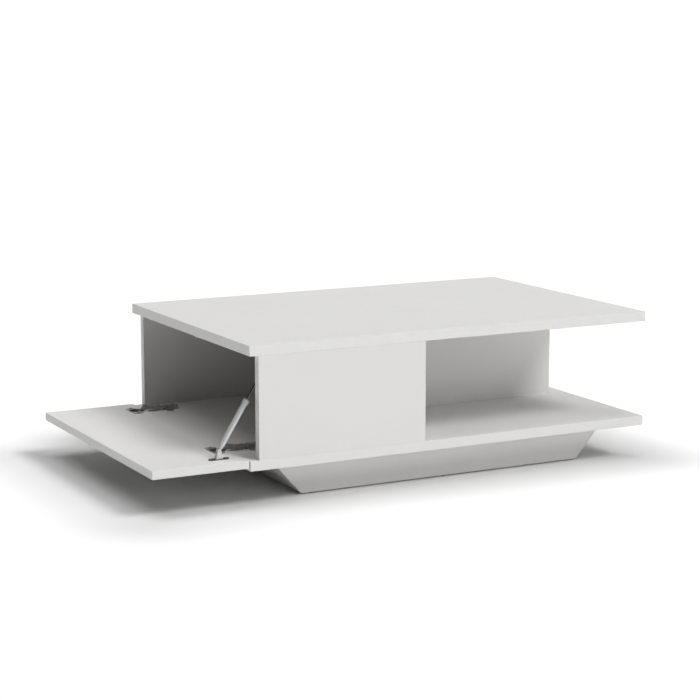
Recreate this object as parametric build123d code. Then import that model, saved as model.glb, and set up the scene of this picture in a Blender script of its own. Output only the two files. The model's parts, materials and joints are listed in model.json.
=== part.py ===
from build123d import *
from math import acos, atan2, cos, degrees, hypot, radians, sin, tan
import os

# Coffee table: an open shelf on the right, and on the left a closed compartment
# behind a drop-down flap that a gas strut holds level when it is open.
#
# Millimetres. Origin: middle of the plinth's footprint, on the floor. +X runs along
# the length away from the flap, -Y is the front, +Z is up. The flap is drawn open.

# ------------------------------------------------------------- driving dimensions
LENGTH = 1000.0  # top and bottom boards
DEPTH = 660.0
BOARD = 22.0  # thickness of the top and bottom boards
PANEL = 18.0  # thickness of the uprights and of the flap
CLEAR_HEIGHT = 222.0  # between the bottom board and the top board
EDGING = 1.0  # thickness of the glued edge strips

END_SETBACK = 20.0  # the uprights stand this far inside the boards' left end
COMPARTMENT = 400.0  # length of the front and back panels
SPINE_LENGTH = 532.0  # wall along the middle of the open shelf

PLINTH_HEIGHT = 76.0
PLINTH_BOARD = 16.0
PLINTH_TOP_INSET = 78.0  # from the boards' ends to the plinth's upper corners
PLINTH_SIDE_INSET = 57.0  # from the boards' long edges to the plinth's faces
PLINTH_RAKE = 67.0  # how far each end leans inwards over the plinth's height
GLIDE_HEIGHT = 2.0

FLAP_HEIGHT = 216.5  # the flap's short side, upright when it is closed
FLAP_STEP = 3.0  # the open flap's upper face stands this far above the bottom board
FLAP_AXIS_DEPTH = 7.5  # the turning axis lies this far inside the board's corner
FLAP_EDGE_REACH = 11.0  # from the turning axis to the flap's hinge edge
HINGE_Y = (-215.0, 250.0)  # the two concealed hinges

CUP_RADIUS = 17.5
CUP_DEPTH = 11.5
CUP_TO_EDGE = 21.5  # cup centre to the flap's hinge edge
LINK_PIN_RADIUS = 1.5
PIN_CLEARANCE = 0.06  # radial, where a link turns on its pin

STRUT_Y = -293.0
STRUT_LENGTH = 200.0  # between pivots with the flap open
STRUT_ANGLE = 57.4  # above level with the flap open
STRUT_TUBE_RADIUS = 6.25
STRUT_ROD_RADIUS = 2.5

CAM_DROP = 24.0  # cam centre below the upright's top edge
CAM_RADIUS = 7.4
SCREW_BORE_GAP = 0.05
BORE_SPARE = 0.5  # a blind hole goes this much deeper than what it holds

# ------------------------------------------------------------- derived levels
LEFT, RIGHT = -LENGTH / 2, LENGTH / 2
FRONT, BACK = -DEPTH / 2, DEPTH / 2
BASE_UNDER = GLIDE_HEIGHT + PLINTH_HEIGHT
BASE_TOP = BASE_UNDER + BOARD
TOP_UNDER = BASE_TOP + CLEAR_HEIGHT
TOP_FACE = TOP_UNDER + BOARD

PANEL_LEFT = LEFT + END_SETBACK
PANEL_RIGHT = PANEL_LEFT + COMPARTMENT
DIVIDER_LEFT = PANEL_RIGHT - PANEL
SPINE_RIGHT = PANEL_RIGHT + SPINE_LENGTH

FLAP_AXIS = (LEFT + FLAP_AXIS_DEPTH, BASE_TOP - FLAP_AXIS_DEPTH)
FLAP_FACE = BASE_TOP + FLAP_STEP
FLAP_RIGHT = FLAP_AXIS[0] - FLAP_EDGE_REACH
FLAP_LEFT = FLAP_RIGHT - FLAP_HEIGHT
CUP_X = FLAP_RIGHT - CUP_TO_EDGE

# Pivots of the hinge links, in X and Z. The four points are a parallelogram, so the
# cup pin follows the flap exactly while the outer link keeps its direction.
ARM_PIVOT = (LEFT + 27.0, BASE_TOP + 6.5)
CUP_PIVOT = (CUP_X + 1.0, FLAP_FACE - 7.0)
LINK_PIVOT = (
    ARM_PIVOT[0] + CUP_PIVOT[0] - FLAP_AXIS[0],
    ARM_PIVOT[1] + CUP_PIVOT[1] - FLAP_AXIS[1],
)

STRUT_FOOT = (LEFT - 56.0, FLAP_FACE + 18.5)
STRUT_HEAD = (
    STRUT_FOOT[0] + STRUT_LENGTH * cos(radians(STRUT_ANGLE)),
    STRUT_FOOT[1] + STRUT_LENGTH * sin(radians(STRUT_ANGLE)),
)

UP, DOWN = (0, 0, 1), (0, 0, -1)
BACKWARD, FORWARD = (0, 1, 0), (0, -1, 0)


# ------------------------------------------------------------- helpers
def block(x0, x1, y0, y1, z0, z1):
    """Box between two corners."""
    return Pos(x0, y0, z0) * Box(x1 - x0, y1 - y0, z1 - z0, align=(Align.MIN,) * 3)


def across(profile, y0, y1):
    """Profile drawn in X and Z, carried from y0 to y1."""
    return Pos(0, y0, 0) * extrude(Plane.XZ * profile, amount=-(y1 - y0))


def pin_y(pivot, y0, y1, radius):
    """Round bar along Y through a pivot given in X and Z."""
    return across(Pos(*pivot) * Circle(radius), y0, y1)


def placed(shape, point, outward):
    """Shape drawn about +Z, moved to a point with its +Z along outward."""
    return Plane(origin=point, z_dir=outward).location * shape


def bore(point, outward, radius, depth):
    """Round cutter that goes into a face from a point on it."""
    cutter = Cylinder(radius, depth + 1, align=(Align.CENTER, Align.CENTER, Align.MAX))
    return placed(Pos(0, 0, 1) * cutter, point, outward)


def group(shapes):
    """Separate solids kept together as one node."""
    return Compound([solid for shape in shapes for solid in shape.solids()])


def drilled(shape, cutters):
    """Shape with each cutter taken out in turn."""
    for cutter in cutters:
        shape = shape - cutter
    return shape


def cross_recess(head_radius, depth):
    """Cutter for the driver's cross in a screw head whose top is at z = 0."""
    arm = Box(1.3 * head_radius, 0.32 * head_radius, 2 * depth)
    return arm + Rot(0, 0, 90) * arm


def pan_screw(head_radius, head_height, radius, length):
    """Screw with a domed head that stands on z = 0, its tip down."""
    head = Cylinder(head_radius, head_height, align=(Align.CENTER, Align.CENTER, Align.MIN))
    head = fillet(head.faces().sort_by(Axis.Z)[-1].edges(), 0.45 * head_height)
    shank = Pos(0, 0, -length / 2) * Cylinder(radius, length)
    shank = chamfer(shank.faces().sort_by(Axis.Z)[0].edges(), 0.6 * radius)
    recess = Pos(0, 0, head_height) * cross_recess(head_radius, 0.55 * head_height)
    return head + shank - recess


def sunk_screw(head_radius, radius, length):
    """Countersunk screw with the top of its head at z = 0, its tip down."""
    head_height = head_radius - radius
    head = Pos(0, 0, -head_height / 2) * Cone(radius, head_radius, head_height)
    shank = Pos(0, 0, -length / 2) * Cylinder(radius, length)
    shank = chamfer(shank.faces().sort_by(Axis.Z)[0].edges(), 0.6 * radius)
    return head + shank - cross_recess(head_radius, 0.5 * head_height)


def sunk_hole(point, outward, head_radius, radius, depth):
    """Cutter that a countersunk screw of the same sizes sits in."""
    gap = SCREW_BORE_GAP
    head_height = head_radius - radius
    cone = Pos(0, 0, -head_height / 2) * Cone(radius + gap, head_radius + gap, head_height)
    return placed(cone, point, outward) + bore(point, outward, radius + gap, depth + BORE_SPARE)


def edging_ring(x0, x1, y0, y1, z0, z1):
    """Four glued strips round a board whose outside is given."""
    t = EDGING
    return group(
        [
            block(x0, x1, y0, y0 + t, z0, z1),
            block(x0, x1, y1 - t, y1, z0, z1),
            block(x0, x0 + t, y0 + t, y1 - t, z0, z1),
            block(x1 - t, x1, y0 + t, y1 - t, z0, z1),
        ]
    )


def cored(x0, x1, y0, y1, z0, z1):
    """Board inside an edging ring."""
    t = EDGING
    return block(x0 + t, x1 - t, y0 + t, y1 - t, z0, z1)


# ------------------------------------------------------------- knock-down joints
# Where each upright is joined to the boards: X, Y and the side its cam opens to.
PANEL_MID = PANEL / 2
FRONT_MID, BACK_MID = FRONT + PANEL_MID, BACK - PANEL_MID
DIVIDER_MID = DIVIDER_LEFT + PANEL_MID
JOINT_INSET = 62.0
ACROSS_LEFT = (-1, 0, 0)
SIDE_X = (PANEL_LEFT + JOINT_INSET, PANEL_RIGHT - JOINT_INSET)
DIVIDER_Y = (-200.0, 200.0)
SPINE_X = (PANEL_RIGHT + JOINT_INSET, (PANEL_RIGHT + SPINE_RIGHT) / 2, SPINE_RIGHT - JOINT_INSET)
JOINTS = {
    "front_panel": [(x, FRONT_MID, BACKWARD) for x in SIDE_X],
    "back_panel": [(x, BACK_MID, FORWARD) for x in SIDE_X],
    "divider_panel": [(DIVIDER_MID, y, ACROSS_LEFT) for y in DIVIDER_Y],
    "spine_panel": [(x, 0.0, BACKWARD) for x in SPINE_X],
}
ALL_JOINTS = [joint for joints in JOINTS.values() for joint in joints]

CAM_FACE_GAP = 0.6
CAM_GAP = 0.1
CAM_DEPTH = 12.0
CAM_BORE_DEPTH = 12.8
CAM_CROSS = (4.0, 2.5)  # radius and depth
CAM_MOUTH = 4.5  # the bolt's way in goes this far past the cam's centre
COVER_LIP = 1.3
COVER_HEIGHT = 1.0
COVER_CHAMFER = 0.4
BOLT_HEAD_RADIUS = 3.4
BOLT_HEAD_HEIGHT = 3.5
BOLT_BORE_RADIUS = 3.7
BOLT_RADIUS = 2.5
BOLT_THREAD_RADIUS = 3.0
BOLT_THREAD = 11.0
BOLT_REACH = CAM_DROP + 3.0
DOWEL_RADIUS = 4.0
DOWEL_HALF = 14.0
DOWEL_STEP = 32.0
DOWEL_GAP = 0.05
DOWEL_CHAMFER = 0.8
DOWEL_HOLE = (DOWEL_RADIUS + DOWEL_GAP, DOWEL_HALF + BORE_SPARE)
BASE_SCREW_LENGTH = 50.0
BASE_SCREW_HEAD = 5.0
BASE_SCREW_RADIUS = 2.5


def cam_seat(x, y, outward):
    """Point on an upright's face over a cam's centre."""
    return (x + outward[0] * PANEL_MID, y + outward[1] * PANEL_MID, TOP_UNDER - CAM_DROP)


def dowel_points():
    """X and Y of the dowels, one beside each joint along its upright."""
    points = []
    for x, y, outward in ALL_JOINTS:
        along_x = outward[1] != 0
        points.append((x + DOWEL_STEP, y) if along_x else (x, y + DOWEL_STEP))
    return points


def dowel(point, direction):
    """Beech dowel with chamfered ends, centred on a point."""
    pin = Cylinder(DOWEL_RADIUS, 2 * DOWEL_HALF)
    pin = chamfer(pin.edges().filter_by(GeomType.CIRCLE), DOWEL_CHAMFER)
    return placed(pin, point, direction)


def upright_cuts(joints):
    """Everything drilled in an upright: cams, bolts, dowels and base screws."""
    cuts = []
    for x, y, outward in joints:
        cuts.append(bore(cam_seat(x, y, outward), outward, CAM_RADIUS + CAM_GAP, CAM_BORE_DEPTH))
        cuts.append(bore((x, y, TOP_UNDER), UP, BOLT_BORE_RADIUS, CAM_DROP))
        screw_hole = (BASE_SCREW_RADIUS + SCREW_BORE_GAP, BASE_SCREW_LENGTH - BOARD + BORE_SPARE)
        cuts.append(bore((x, y, BASE_TOP), DOWN, *screw_hole))
        dx, dy = (DOWEL_STEP, 0) if outward[1] != 0 else (0, DOWEL_STEP)
        cuts.append(bore((x + dx, y + dy, TOP_UNDER), UP, *DOWEL_HOLE))
        cuts.append(bore((x + dx, y + dy, BASE_TOP), DOWN, *DOWEL_HOLE))
    return cuts


def knock_down_fittings():
    """Cams, cam bolts, cover caps, dowels and the screws up through the base."""
    cams, bolts, caps, screws = [], [], [], []
    centre_max = (Align.CENTER, Align.CENTER, Align.MAX)
    centre_min = (Align.CENTER, Align.CENTER, Align.MIN)
    for x, y, outward in ALL_JOINTS:
        seat = cam_seat(x, y, outward)
        drum = Pos(0, 0, -CAM_FACE_GAP) * Cylinder(CAM_RADIUS, CAM_DEPTH, align=centre_max)
        drum -= Pos(0, 0, -CAM_FACE_GAP) * cross_recess(*CAM_CROSS)
        drum = placed(drum, seat, outward)
        cams.append(drum - bore((x, y, TOP_UNDER), UP, BOLT_BORE_RADIUS, CAM_DROP + CAM_MOUTH))
        thread = Cylinder(BOLT_THREAD_RADIUS, BOLT_THREAD, align=centre_min)
        shank = Cylinder(BOLT_RADIUS, BOLT_REACH, align=centre_max)
        head = Pos(0, 0, -BOLT_REACH) * Cylinder(BOLT_HEAD_RADIUS, BOLT_HEAD_HEIGHT, align=centre_min)
        bolts.append(Pos(x, y, TOP_UNDER) * (thread + shank + head))
        cap = Cylinder(CAM_RADIUS + COVER_LIP, COVER_HEIGHT, align=centre_min)
        cap = chamfer(cap.faces().sort_by(Axis.Z)[-1].edges(), COVER_CHAMFER)
        caps.append(placed(cap, seat, outward))
        screw = sunk_screw(BASE_SCREW_HEAD, BASE_SCREW_RADIUS, BASE_SCREW_LENGTH)
        screws.append(placed(screw, (x, y, BASE_UNDER), DOWN))
    dowels = [dowel((x, y, level), UP) for x, y in dowel_points() for level in (BASE_TOP, TOP_UNDER)]
    return cams, bolts, caps, screws, dowels


# ------------------------------------------------------------- plinth
PLINTH_LOW = GLIDE_HEIGHT
PLINTH_TOP_X = LENGTH / 2 - PLINTH_TOP_INSET
PLINTH_LOW_X = PLINTH_TOP_X - PLINTH_RAKE
PLINTH_OUT_Y = DEPTH / 2 - PLINTH_SIDE_INSET
PLINTH_IN_Y = PLINTH_OUT_Y - PLINTH_BOARD
RAKE_ANGLE = degrees(atan2(PLINTH_RAKE, PLINTH_HEIGHT))
END_BOARD_RUN = PLINTH_BOARD / cos(radians(RAKE_ANGLE))  # an end board's level thickness
EDGING_RUN = EDGING / cos(radians(RAKE_ANGLE))
BLOCK_X = (-364.0, -322.0)
BLOCK_DEPTH = 30.0
BLOCK_HEIGHT = 36.0
CLEAT_LENGTH = 30.0
CLEAT_HALF = 60.0
RAIL_HALF = PLINTH_BOARD / 2
RAIL_DOWEL_INSET = 20.0  # from the cross rail's upper and lower edges
END_DOWELS = (0.28, 0.72)  # parts of the way down the slanted end boards
BLOCK_SCREW_LENGTH = 50.0
BLOCK_SCREW_HEAD = 4.0
BLOCK_SCREW_RADIUS = 2.0
BLOCK_SCREW_OFFSET = 8.0  # from a block's middle, so that its two screws don't meet
SIDE_SCREW_LENGTH = 40.0


def raked(x_top, width):
    """Slanted strip of the plinth's left end, its outer edge starting at x_top."""
    lean = PLINTH_RAKE
    return make_face(
        Polyline(
            (x_top, BASE_UNDER),
            (x_top + width, BASE_UNDER),
            (x_top + width + lean, PLINTH_LOW),
            (x_top + lean, PLINTH_LOW),
            close=True,
        )
    )


def long_profile():
    """Face of a long plinth board between its edge strips."""
    top, low = PLINTH_TOP_X - EDGING_RUN, PLINTH_LOW_X - EDGING_RUN
    return make_face(
        Polyline((-top, BASE_UNDER), (top, BASE_UNDER), (low, PLINTH_LOW), (-low, PLINTH_LOW), close=True)
    )


def rail_dowels():
    """Dowels at the cross rail's ends."""
    return [
        dowel((0, side * PLINTH_IN_Y, height), BACKWARD)
        for side in (-1, 1)
        for height in (PLINTH_LOW + RAIL_DOWEL_INSET, BASE_UNDER - RAIL_DOWEL_INSET)
    ]


def end_dowels():
    """Dowels between the slanted end boards and the long boards."""
    pins = []
    for fraction in END_DOWELS:
        x = PLINTH_TOP_X - END_BOARD_RUN / 2 - fraction * PLINTH_RAKE
        z = BASE_UNDER - fraction * PLINTH_HEIGHT
        for end in (-1, 1):
            for side in (-1, 1):
                pins.append(dowel((end * x, side * PLINTH_IN_Y, z), BACKWARD))
    return pins


def dowel_cuts(pins):
    """Holes for dowels that lie along Y."""
    cuts = []
    for pin in pins:
        middle = pin.bounding_box().center()
        length = 2 * (DOWEL_HALF + BORE_SPARE)
        y0, y1 = middle.Y - length / 2, middle.Y + length / 2
        cuts.append(pin_y((middle.X, middle.Z), y0, y1, DOWEL_RADIUS + DOWEL_GAP))
    return cuts


def plinth():
    """The trapezoid base under the bottom board."""
    dowels = rail_dowels() + end_dowels()
    dowel_holes = dowel_cuts(dowels)
    long_board = across(long_profile(), -PLINTH_OUT_Y, -PLINTH_IN_Y)
    left_end = across(raked(-PLINTH_TOP_X, END_BOARD_RUN), -PLINTH_IN_Y, PLINTH_IN_Y)
    rail = block(-RAIL_HALF, RAIL_HALF, -PLINTH_IN_Y, PLINTH_IN_Y, PLINTH_LOW, BASE_UNDER)
    nail_hole = bore((0, 0, PLINTH_LOW), DOWN, *GLIDE_NAIL_HOLE)
    strip = across(raked(-PLINTH_TOP_X, EDGING_RUN), -PLINTH_OUT_Y, -PLINTH_IN_Y)

    block_y = (-PLINTH_IN_Y, -PLINTH_IN_Y + BLOCK_DEPTH)
    corner = block(*BLOCK_X, *block_y, BASE_UNDER - BLOCK_HEIGHT, BASE_UNDER)
    cleat_x = -PLINTH_TOP_X + END_BOARD_RUN
    cleat_low = BASE_UNDER - CLEAT_LENGTH / tan(radians(RAKE_ANGLE))
    cleat = make_face(
        Polyline(
            (cleat_x, BASE_UNDER),
            (cleat_x + CLEAT_LENGTH, BASE_UNDER),
            (cleat_x + CLEAT_LENGTH, cleat_low),
            close=True,
        )
    )
    cleat = across(cleat, -CLEAT_HALF, CLEAT_HALF)

    block_mid = sum(BLOCK_X) / 2
    upright = (block_mid - BLOCK_SCREW_OFFSET, -PLINTH_IN_Y + BLOCK_DEPTH / 2, BASE_UNDER - BLOCK_HEIGHT)
    sideways = (block_mid + BLOCK_SCREW_OFFSET, -PLINTH_IN_Y + BLOCK_DEPTH, BASE_UNDER - BLOCK_HEIGHT / 2)
    up_screw = sunk_screw(BLOCK_SCREW_HEAD, BLOCK_SCREW_RADIUS, BLOCK_SCREW_LENGTH)
    side_screw = sunk_screw(BLOCK_SCREW_HEAD, BLOCK_SCREW_RADIUS, SIDE_SCREW_LENGTH)
    screws = [placed(up_screw, upright, DOWN), placed(side_screw, sideways, BACKWARD)]
    cuts = [
        sunk_hole(upright, DOWN, BLOCK_SCREW_HEAD, BLOCK_SCREW_RADIUS, BLOCK_SCREW_LENGTH),
        sunk_hole(sideways, BACKWARD, BLOCK_SCREW_HEAD, BLOCK_SCREW_RADIUS, SIDE_SCREW_LENGTH),
    ]
    four_ways = [lambda s: s, lambda s: mirror(s, Plane.YZ), lambda s: mirror(s, Plane.XZ)]
    four_ways.append(lambda s: mirror(mirror(s, Plane.YZ), Plane.XZ))
    block_cuts = [way(cut) for way in four_ways for cut in cuts]

    front = drilled(long_board, dowel_holes + block_cuts)
    back = drilled(mirror(long_board, Plane.XZ), dowel_holes + block_cuts)
    nodes = {
        "plinth_front_board": front,
        "plinth_back_board": back,
        "plinth_left_board": drilled(left_end, dowel_holes),
        "plinth_right_board": drilled(mirror(left_end, Plane.YZ), dowel_holes),
        "plinth_cross_rail": drilled(rail, dowel_holes + [nail_hole]),
        "plinth_edging": group([way(strip) for way in four_ways]),
        "plinth_blocks": group(
            [way(corner - cuts) for way in four_ways] + [cleat, mirror(cleat, Plane.YZ)]
        ),
        "plinth_screws": group([way(screw) for way in four_ways for screw in screws]),
    }
    for name, side in (("plinth_front_board", -1), ("plinth_back_board", 1)):
        for x in GLIDE_X:
            seat = (x, side * GLIDE_Y, PLINTH_LOW)
            nodes[name] -= bore(seat, DOWN, *GLIDE_NAIL_HOLE)
    return nodes, block_cuts, dowels


GLIDE_RADIUS = 7.0
GLIDE_NAIL = 1.0
GLIDE_NAIL_LENGTH = 8.5
GLIDE_NAIL_HOLE = (GLIDE_NAIL + SCREW_BORE_GAP, GLIDE_NAIL_LENGTH + BORE_SPARE)
GLIDE_CHAMFER = 0.6
GLIDE_X = (-330.0, 0.0, 330.0)
GLIDE_Y = (PLINTH_OUT_Y + PLINTH_IN_Y) / 2


def floor_glides():
    """Nail-in glides, three under each long board and one under the cross rail."""
    disc = Cylinder(GLIDE_RADIUS, GLIDE_HEIGHT, align=(Align.CENTER, Align.CENTER, Align.MIN))
    disc = chamfer(disc.faces().sort_by(Axis.Z)[0].edges(), GLIDE_CHAMFER)
    nail = Pos(0, 0, GLIDE_HEIGHT) * Cylinder(
        GLIDE_NAIL, GLIDE_NAIL_LENGTH, align=(Align.CENTER, Align.CENTER, Align.MIN)
    )
    glide = disc + nail
    spots = [(x, side * GLIDE_Y) for side in (-1, 1) for x in GLIDE_X] + [(0.0, 0.0)]
    return group([Pos(x, y, 0) * glide for x, y in spots])


# ------------------------------------------------------------- concealed hinges
PLATE_WING = 52.0
PLATE_WING_WIDTH = 16.0
PLATE_WING_HEIGHT = 2.0
PLATE_HEIGHT = 2.4
PLATE_X = (ARM_PIVOT[0] + 13.0, ARM_PIVOT[0] + 53.0)
PLATE_CORNER = 2.0
BOSS_X = (PLATE_X[0] + 1.0, PLATE_X[1] - 7.0)
BOSS_GAP = 0.1  # under the arm's roof
SCREW_HOLE_GAP = 0.3  # round a screw in the part that it holds down
WING_X = ARM_PIVOT[0] + 26.0
WING_SCREW = 19.0
WING_SCREW_LENGTH = 14.0
WING_SCREW_RADIUS = 2.5
WING_SCREW_HEAD = (4.2, 2.2)  # radius and height
ARM_HALF = 7.5
ARM_WALL = 1.2
ARM_END = ARM_PIVOT[0] + 48.0
EAR_RADIUS = 4.0
ARM_TOP = ARM_PIVOT[1] + EAR_RADIUS
ARM_LOW = ARM_PIVOT[1] - EAR_RADIUS + 0.1
ARM_ROOF_START = ARM_PIVOT[0] + 7.0
CHIN_X = (ARM_PIVOT[0] - 5.2, ARM_PIVOT[0] + 6.5)  # the cheeks reach down to the board here
CHIN_LOW = BASE_TOP + 0.4
CHIN_RADIUS = 2.5
NOTCH_END = ARM_PIVOT[0] + 14.0
NOTCH_LOW = ARM_LOW + 2.2
ARM_SCREW_X = (ARM_PIVOT[0] + 17.5, ARM_PIVOT[0] + 38.0)
ARM_SCREW_RADIUS = 2.0
ARM_SCREW_LENGTH = 7.5
ARM_SCREW_HEAD = (3.2, 1.8)
ARM_SLOT_LENGTH = 9.0
ROOF_FILLET = 0.9
SIDE_PLAY = 0.3  # between parts that turn past each other, along Y
LINK_HALF = ARM_HALF - ARM_WALL - SIDE_PLAY
LINK_WALL = 1.3
LINK_RADII = (4.0, 5.0)  # at the arm's pivot and at the middle pivot
LINK_ROOF_END = 6.5  # the roof stops this far from the middle pivot
OUTER_LINK_HALF = LINK_HALF - LINK_WALL - SIDE_PLAY
OUTER_LINK_RADII = (3.2, 3.0)
FLANGE_LENGTH = 65.0
FLANGE_WIDTH = 24.0
FLANGE_OFFSET = 5.5  # screw line from the cup's centre, away from the hinge edge
FLANGE_CORNER = 8.0
FLANGE_THICKNESS = 1.2
RIM_RADIUS = 18.6
RIM_NOTCH = 6.0  # half the width of the gap in the rim that the links swing through
CUP_WALL = 0.8
CUP_BORE_GAP = 0.2
FLANGE_SCREW = 26.0
FLANGE_SCREW_LENGTH = 12.0
FLANGE_SCREW_RADIUS = 1.75
FLANGE_SCREW_HEAD = (3.4, 1.7)
LUG_RADIUS = 3.0
LUG_START = 9.5
LUG_WALL = 1.2


def link_profile(start, end, radii):
    """Outline of a link between two pivots, round about each."""
    turn = atan2(end[1] - start[1], end[0] - start[0])
    span = hypot(end[0] - start[0], end[1] - start[1])
    lean = acos((radii[0] - radii[1]) / span)
    touch = []
    for (x, z), radius in zip((start, end), radii):
        for way in (turn + lean, turn - lean):
            touch.append((x + radius * cos(way), z + radius * sin(way)))
    a, b, c, d = touch
    outline = make_face(Polyline(a, b, d, c, close=True))
    return outline + Pos(*start) * Circle(radii[0]) + Pos(*end) * Circle(radii[1])


def mounting_plate():
    """Cross-shaped plate that carries a hinge arm, at y = 0 on the bottom board."""
    base = block(*PLATE_X, -ARM_HALF, ARM_HALF, BASE_TOP, BASE_TOP + PLATE_HEIGHT)
    base = chamfer(base.edges().filter_by(Axis.Z), PLATE_CORNER)
    boss_top = ARM_TOP - ARM_WALL - BOSS_GAP
    boss = block(*BOSS_X, -LINK_HALF, LINK_HALF, BASE_TOP + PLATE_HEIGHT, boss_top)
    wing = extrude(Rot(0, 0, 90) * SlotOverall(PLATE_WING, PLATE_WING_WIDTH), PLATE_WING_HEIGHT)
    plate = base + boss + Pos(WING_X, 0, BASE_TOP) * wing
    for side in (-1, 1):
        spot = (WING_X, side * WING_SCREW, BASE_TOP + PLATE_WING_HEIGHT)
        plate -= bore(spot, UP, WING_SCREW_RADIUS + SCREW_HOLE_GAP, 2 * PLATE_WING_HEIGHT)
    for x in ARM_SCREW_X:
        plate -= bore((x, 0, boss_top), UP, ARM_SCREW_RADIUS + SCREW_BORE_GAP, ARM_SCREW_LENGTH - ARM_WALL)
    return plate


def hinge_arm():
    """Folded channel over the mounting plate, with an ear each side of the links."""
    cheek = Rectangle(ARM_END - NOTCH_END, ARM_TOP - ARM_LOW, align=(Align.MIN, Align.MIN))
    cheek = Pos(NOTCH_END, ARM_LOW) * cheek
    neck = Rectangle(NOTCH_END - ARM_PIVOT[0], ARM_TOP - NOTCH_LOW, align=(Align.MIN, Align.MIN))
    chin = Rectangle(CHIN_X[1] - CHIN_X[0], ARM_PIVOT[1] - CHIN_LOW, align=(Align.MIN, Align.MIN))
    chin = fillet(chin.vertices().group_by(Axis.Y)[0], CHIN_RADIUS)
    cheek += Pos(ARM_PIVOT[0], NOTCH_LOW) * neck
    cheek += Pos(CHIN_X[0], CHIN_LOW) * chin
    cheek += Pos(*ARM_PIVOT) * Circle(EAR_RADIUS)
    sides = [across(cheek, -ARM_HALF, -ARM_HALF + ARM_WALL), across(cheek, ARM_HALF - ARM_WALL, ARM_HALF)]
    roof = block(ARM_ROOF_START, ARM_END, -ARM_HALF, ARM_HALF, ARM_TOP - ARM_WALL, ARM_TOP)
    arm = roof + sides
    top_edges = arm.edges().filter_by(Axis.X).group_by(Axis.Z)[-1]
    arm = fillet(top_edges.filter_by(lambda edge: edge.length > ARM_END - NOTCH_END), ROOF_FILLET)
    hole_radius = ARM_SCREW_RADIUS + SCREW_HOLE_GAP
    slot = extrude(SlotOverall(ARM_SLOT_LENGTH, 2 * hole_radius), 2 * ARM_WALL, both=True)
    arm -= bore((ARM_SCREW_X[0], 0, ARM_TOP), UP, hole_radius, 2 * ARM_WALL)
    arm -= Pos(ARM_SCREW_X[1], 0, ARM_TOP) * slot
    return arm - pin_y(ARM_PIVOT, -ARM_HALF - 1, ARM_HALF + 1, LINK_PIN_RADIUS)


def inner_link():
    """Pressed channel, open below, from the arm to the middle pivot."""
    profile = link_profile(ARM_PIVOT, LINK_PIVOT, LINK_RADII)
    link = across(profile, -LINK_HALF, LINK_HALF)
    hollow = LINK_HALF - LINK_WALL
    for drop in (LINK_WALL, 2 * LINK_WALL):
        link -= across(Pos(0, -drop) * profile, -hollow, hollow)
    opening_x = LINK_PIVOT[0] + LINK_ROOF_END
    reach = 2 * LINK_RADII[1]
    ends = ((LINK_PIVOT[0] - reach, opening_x), (ARM_PIVOT[0] - LINK_RADII[0] / 2, ARM_PIVOT[0] + reach))
    for x0, x1 in ends:
        link -= block(x0, x1, -hollow, hollow, ARM_PIVOT[1] - reach, LINK_PIVOT[1] + reach)
    link -= pin_y(ARM_PIVOT, -ARM_HALF, ARM_HALF, LINK_PIN_RADIUS + PIN_CLEARANCE)
    return link - pin_y(LINK_PIVOT, -ARM_HALF, ARM_HALF, LINK_PIN_RADIUS)


def outer_link():
    """Solid link from the middle pivot down into the cup."""
    link = across(
        link_profile(LINK_PIVOT, CUP_PIVOT, OUTER_LINK_RADII), -OUTER_LINK_HALF, OUTER_LINK_HALF
    )
    for pivot in (LINK_PIVOT, CUP_PIVOT):
        link -= pin_y(pivot, -ARM_HALF, ARM_HALF, LINK_PIN_RADIUS + PIN_CLEARANCE)
    return link


def hinge_cup():
    """Pressed cup in the flap, its flange on the flap's face, with two pin lugs."""
    below = (Align.CENTER, Align.CENTER, Align.MAX)
    shell = Cylinder(CUP_RADIUS, CUP_DEPTH, align=below)
    wings = Pos(-FLANGE_OFFSET, 0) * RectangleRounded(FLANGE_WIDTH, FLANGE_LENGTH, FLANGE_CORNER)
    flange = extrude(wings + Circle(RIM_RADIUS), FLANGE_THICKNESS)
    cavity = Pos(0, 0, FLANGE_THICKNESS + 1) * Cylinder(
        CUP_RADIUS - CUP_WALL, CUP_DEPTH - CUP_WALL + FLANGE_THICKNESS + 1, align=below
    )
    cup = shell + flange - cavity
    cup -= block(CUP_RADIUS / 2, 2 * CUP_RADIUS, -RIM_NOTCH, RIM_NOTCH, 0, 2 * FLANGE_THICKNESS)
    for side in (-1, 1):
        spot = (-FLANGE_OFFSET, side * FLANGE_SCREW, FLANGE_THICKNESS)
        cup -= bore(spot, UP, FLANGE_SCREW_RADIUS + SCREW_HOLE_GAP, 2 * FLANGE_THICKNESS)
    cup = Pos(CUP_X, 0, FLAP_FACE) * cup
    floor = FLAP_FACE - CUP_DEPTH + CUP_WALL
    lug = Pos(*CUP_PIVOT) * Circle(LUG_RADIUS)
    lug += Pos(CUP_PIVOT[0], (CUP_PIVOT[1] + floor) / 2) * Rectangle(2 * LUG_RADIUS, CUP_PIVOT[1] - floor)
    lugs = [across(lug, LUG_START, LUG_START + LUG_WALL), across(lug, -LUG_START - LUG_WALL, -LUG_START)]
    return cup + lugs - pin_y(CUP_PIVOT, -LUG_START - LUG_WALL, LUG_START + LUG_WALL, LINK_PIN_RADIUS)


def for_each_hinge(shape):
    """Copies of a part drawn at y = 0, one at each hinge."""
    return group([Pos(0, y, 0) * shape for y in HINGE_Y])


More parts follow.
